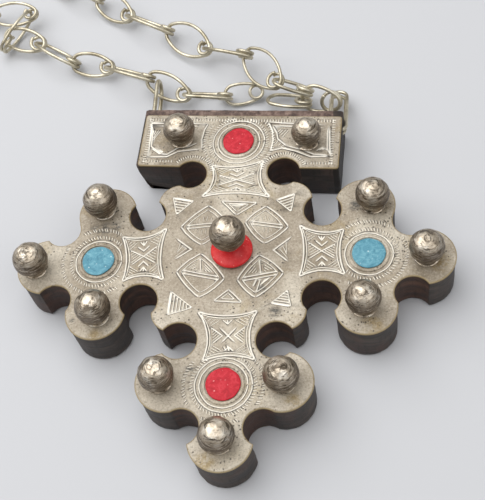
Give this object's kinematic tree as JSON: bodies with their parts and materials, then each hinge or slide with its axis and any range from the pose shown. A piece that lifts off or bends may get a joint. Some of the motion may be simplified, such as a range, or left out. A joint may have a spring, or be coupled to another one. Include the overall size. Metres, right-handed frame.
{
  "type": "cross pendant",
  "caption": "Flat cross pendant with lobed arms under a wide bar: engraved metal plate on a thick dark wood core, ball studs, round red and blue inlays, wire link chain lying at its top.",
  "frame": {"origin": "on the flat back of the wood core, under the middle of the cross, where its arms meet", "axes": "+X to the viewer's right arm, +Y from the middle towards the bar and the chain, +Z out of the engraved front; the back lies at z = 0"},
  "size_m": [0.1582, 0.1577, 0.0199],
  "materials": {
    "dark_wood": "dark, worn, sawn edges",
    "silver": "low-grade silver, tarnished and hammered",
    "chain_silver": "pale brassy silver wire",
    "red_glass": "opaque red glass, polished",
    "blue_glass": "opaque pale blue glass, mottled"
  },
  "bodies": {
    "cross": {"wood_core": "dark_wood", "front_plate": "silver", "stud_bar_1": "silver", "stud_bar_2": "silver", "stud_right_a": "silver", "stud_right_b": "silver", "stud_right_c": "silver", "stud_left_a": "silver", "stud_left_b": "silver", "stud_left_c": "silver", "stud_bottom_a": "silver", "stud_bottom_b": "silver", "stud_bottom_c": "silver", "boss_bead": "red_glass", "stud_centre": "silver", "bezel_bar": "silver", "disc_bar": "red_glass", "bezel_right": "silver", "disc_right": "blue_glass", "bezel_left": "silver", "disc_left": "blue_glass", "bezel_bottom": "silver", "disc_bottom": "red_glass", "loop_left": "chain_silver", "ring_right": "chain_silver"},
    "link_loop": {"link_loop": "chain_silver"},
    "link_mid_01": {"link_mid_01": "chain_silver"},
    "link_mid_02": {"link_mid_02": "chain_silver"},
    "link_mid_03": {"link_mid_03": "chain_silver"},
    "link_ring": {"link_ring": "chain_silver"},
    "link_left_01": {"link_left_01": "chain_silver"},
    "link_left_02": {"link_left_02": "chain_silver"},
    "link_left_03": {"link_left_03": "chain_silver"},
    "link_left_04": {"link_left_04": "chain_silver"},
    "link_left_05": {"link_left_05": "chain_silver"},
    "link_left_06": {"link_left_06": "chain_silver"},
    "link_left_07": {"link_left_07": "chain_silver"},
    "link_left_08": {"link_left_08": "chain_silver"},
    "link_left_09": {"link_left_09": "chain_silver"},
    "link_left_10": {"link_left_10": "chain_silver"},
    "link_left_11": {"link_left_11": "chain_silver"},
    "link_left_12": {"link_left_12": "chain_silver"},
    "link_right_01": {"link_right_01": "chain_silver"},
    "link_right_02": {"link_right_02": "chain_silver"},
    "link_right_03": {"link_right_03": "chain_silver"},
    "link_right_04": {"link_right_04": "chain_silver"},
    "link_right_05": {"link_right_05": "chain_silver"},
    "link_right_06": {"link_right_06": "chain_silver"},
    "link_right_07": {"link_right_07": "chain_silver"},
    "link_right_08": {"link_right_08": "chain_silver"},
    "link_right_09": {"link_right_09": "chain_silver"},
    "link_right_10": {"link_right_10": "chain_silver"},
    "link_right_11": {"link_right_11": "chain_silver"},
    "link_right_12": {"link_right_12": "chain_silver"},
    "link_right_13": {"link_right_13": "chain_silver"}
  },
  "joints": [
    {"name": "link_loop_swing", "type": "hinge", "parent": "cross", "child": "link_loop", "pos_m": [-0.0198, 0.04922, 0.00325], "axis": [0, 0, 1], "range_deg": [-8, 0]},
    {"name": "link_mid_01_swing", "type": "hinge", "parent": "link_loop", "child": "link_mid_01", "pos_m": [-0.01415, 0.04592, 0.0031], "axis": [-0.1556, -0.5625, 0.812], "range_deg": [-40, 0]},
    {"name": "link_mid_02_swing", "type": "hinge", "parent": "link_mid_01", "child": "link_mid_02", "pos_m": [-0.00498, 0.04544, 0.0024], "axis": [0.0867, 0.8111, 0.5785], "range_deg": [0, 40]},
    {"name": "link_mid_03_swing", "type": "hinge", "parent": "link_ring", "child": "link_mid_03", "pos_m": [0.01246, 0.04287, 0.00235], "axis": [0.0755, 0.5356, 0.8411], "range_deg": [-40, 40]},
    {"name": "link_ring_swing", "type": "hinge", "parent": "cross", "child": "link_ring", "pos_m": [0.01863, 0.04199, 0.00332], "axis": [0.2025, 0.8139, -0.5446], "range_deg": [0, 40]},
    {"name": "link_left_01_swing", "type": "hinge", "parent": "link_loop", "child": "link_left_01", "pos_m": [-0.02246, 0.05008, 0.00439], "axis": [0.2959, 0.7791, 0.5527], "range_deg": [-40, 40]},
    {"name": "link_left_02_swing", "type": "hinge", "parent": "link_left_01", "child": "link_left_02", "pos_m": [-0.0328, 0.05512, 0.00281], "axis": [-0.1212, -0.519, 0.8461], "range_deg": [-40, 40]},
    {"name": "link_left_03_swing", "type": "hinge", "parent": "link_left_02", "child": "link_left_03", "pos_m": [-0.04127, 0.05708, 0.0028], "axis": [0.4732, 0.6838, 0.5554], "range_deg": [-40, 40]},
    {"name": "link_left_04_swing", "type": "hinge", "parent": "link_left_03", "child": "link_left_04", "pos_m": [-0.05048, 0.06328, 0.003], "axis": [0.0074, 0.4976, -0.8674], "range_deg": [-40, 40]},
    {"name": "link_left_05_swing", "type": "hinge", "parent": "link_left_04", "child": "link_left_05", "pos_m": [-0.05804, 0.06354, 0.00308], "axis": [0.8302, -0.4254, -0.3604], "range_deg": [0, 40]},
    {"name": "link_left_06_swing", "type": "hinge", "parent": "link_left_05", "child": "link_left_06", "pos_m": [-0.05338, 0.07194, 0.00389], "axis": [0.0908, 0.2211, -0.971], "range_deg": [-40, 40]},
    {"name": "link_left_07_swing", "type": "hinge", "parent": "link_left_06", "child": "link_left_07", "pos_m": [-0.06323, 0.07297, 0.00321], "axis": [0.2504, 0.9397, 0.233], "range_deg": [-40, 40]},
    {"name": "link_left_08_swing", "type": "hinge", "parent": "link_left_07", "child": "link_left_08", "pos_m": [-0.07279, 0.07554, 0.00315], "axis": [-0.0975, -0.2089, 0.9731], "range_deg": [-40, 40]},
    {"name": "link_left_09_swing", "type": "hinge", "parent": "link_left_08", "child": "link_left_09", "pos_m": [-0.08176, 0.07972, 0.00315], "axis": [-0.4864, -0.8425, -0.2314], "range_deg": [-40, 40]},
    {"name": "link_left_10_swing", "type": "hinge", "parent": "link_left_09", "child": "link_left_10", "pos_m": [-0.09034, 0.08467, 0.00315], "axis": [0.1157, 0.2004, -0.9729], "range_deg": [-40, 40]},
    {"name": "link_left_11_swing", "type": "hinge", "parent": "link_left_10", "child": "link_left_11", "pos_m": [-0.09891, 0.08962, 0.00315], "axis": [0.5579, 0.7968, 0.2322], "range_deg": [-40, 40]},
    {"name": "link_left_12_swing", "type": "hinge", "parent": "link_left_11", "child": "link_left_12", "pos_m": [-0.10702, 0.0953, 0.00315], "axis": [-0.1487, -0.1773, 0.9729], "range_deg": [-40, 40]},
    {"name": "link_right_01_swing", "type": "hinge", "parent": "link_ring", "child": "link_right_01", "pos_m": [0.0129, 0.04429, 0.00463], "axis": [0.3565, 0.6452, 0.6758], "range_deg": [0, 40]},
    {"name": "link_right_02_swing", "type": "hinge", "parent": "link_right_01", "child": "link_right_02", "pos_m": [0.00661, 0.04599, 0.00632], "axis": [0.4045, 0.2459, -0.8809], "range_deg": [0, 40]},
    {"name": "link_right_03_swing", "type": "hinge", "parent": "link_right_02", "child": "link_right_03", "pos_m": [-0.00066, 0.0547, 0.00541], "axis": [-0.2355, -0.8258, -0.5125], "range_deg": [-40, 40]},
    {"name": "link_right_04_swing", "type": "hinge", "parent": "link_right_03", "child": "link_right_04", "pos_m": [-0.01009, 0.05833, 0.00392], "axis": [-0.3666, -0.3944, 0.8427], "range_deg": [-40, 40]},
    {"name": "link_right_05_swing", "type": "hinge", "parent": "link_right_04", "child": "link_right_05", "pos_m": [-0.01964, 0.06526, 0.00301], "axis": [-0.3965, -0.7464, -0.5345], "range_deg": [-40, 40]},
    {"name": "link_right_06_swing", "type": "hinge", "parent": "link_right_05", "child": "link_right_06", "pos_m": [-0.02962, 0.07057, 0.003], "axis": [0.3259, 0.4203, -0.8468], "range_deg": [-40, 40]},
    {"name": "link_right_07_swing", "type": "hinge", "parent": "link_right_06", "child": "link_right_07", "pos_m": [-0.03779, 0.0765, 0.0028], "axis": [0.3833, 0.7525, 0.5355], "range_deg": [-40, 40]},
    {"name": "link_right_08_swing", "type": "hinge", "parent": "link_right_07", "child": "link_right_08", "pos_m": [-0.04661, 0.081, 0.0028], "axis": [-0.3379, -0.4026, 0.8507], "range_deg": [-40, 40]},
    {"name": "link_right_09_swing", "type": "hinge", "parent": "link_right_08", "child": "link_right_09", "pos_m": [-0.05419, 0.08736, 0.0028], "axis": [0.6489, 0.5445, 0.5314], "range_deg": [-40, 40]},
    {"name": "link_right_10_swing", "type": "hinge", "parent": "link_right_09", "child": "link_right_10", "pos_m": [-0.06055, 0.09494, 0.0028], "axis": [0.3379, 0.4026, -0.8507], "range_deg": [-40, 40]},
    {"name": "link_right_11_swing", "type": "hinge", "parent": "link_right_10", "child": "link_right_11", "pos_m": [-0.06814, 0.10131, 0.0028], "axis": [-0.4235, -0.7336, -0.5314], "range_deg": [-40, 40]},
    {"name": "link_right_12_swing", "type": "hinge", "parent": "link_right_11", "child": "link_right_12", "pos_m": [-0.07671, 0.10626, 0.0028], "axis": [0.224, 0.4803, -0.848], "range_deg": [-40, 40]},
    {"name": "link_right_13_swing", "type": "hinge", "parent": "link_right_12", "child": "link_right_13", "pos_m": [-0.08568, 0.11044, 0.0028], "axis": [-0.2897, -0.796, -0.5314], "range_deg": [-40, 40]}
  ]
}
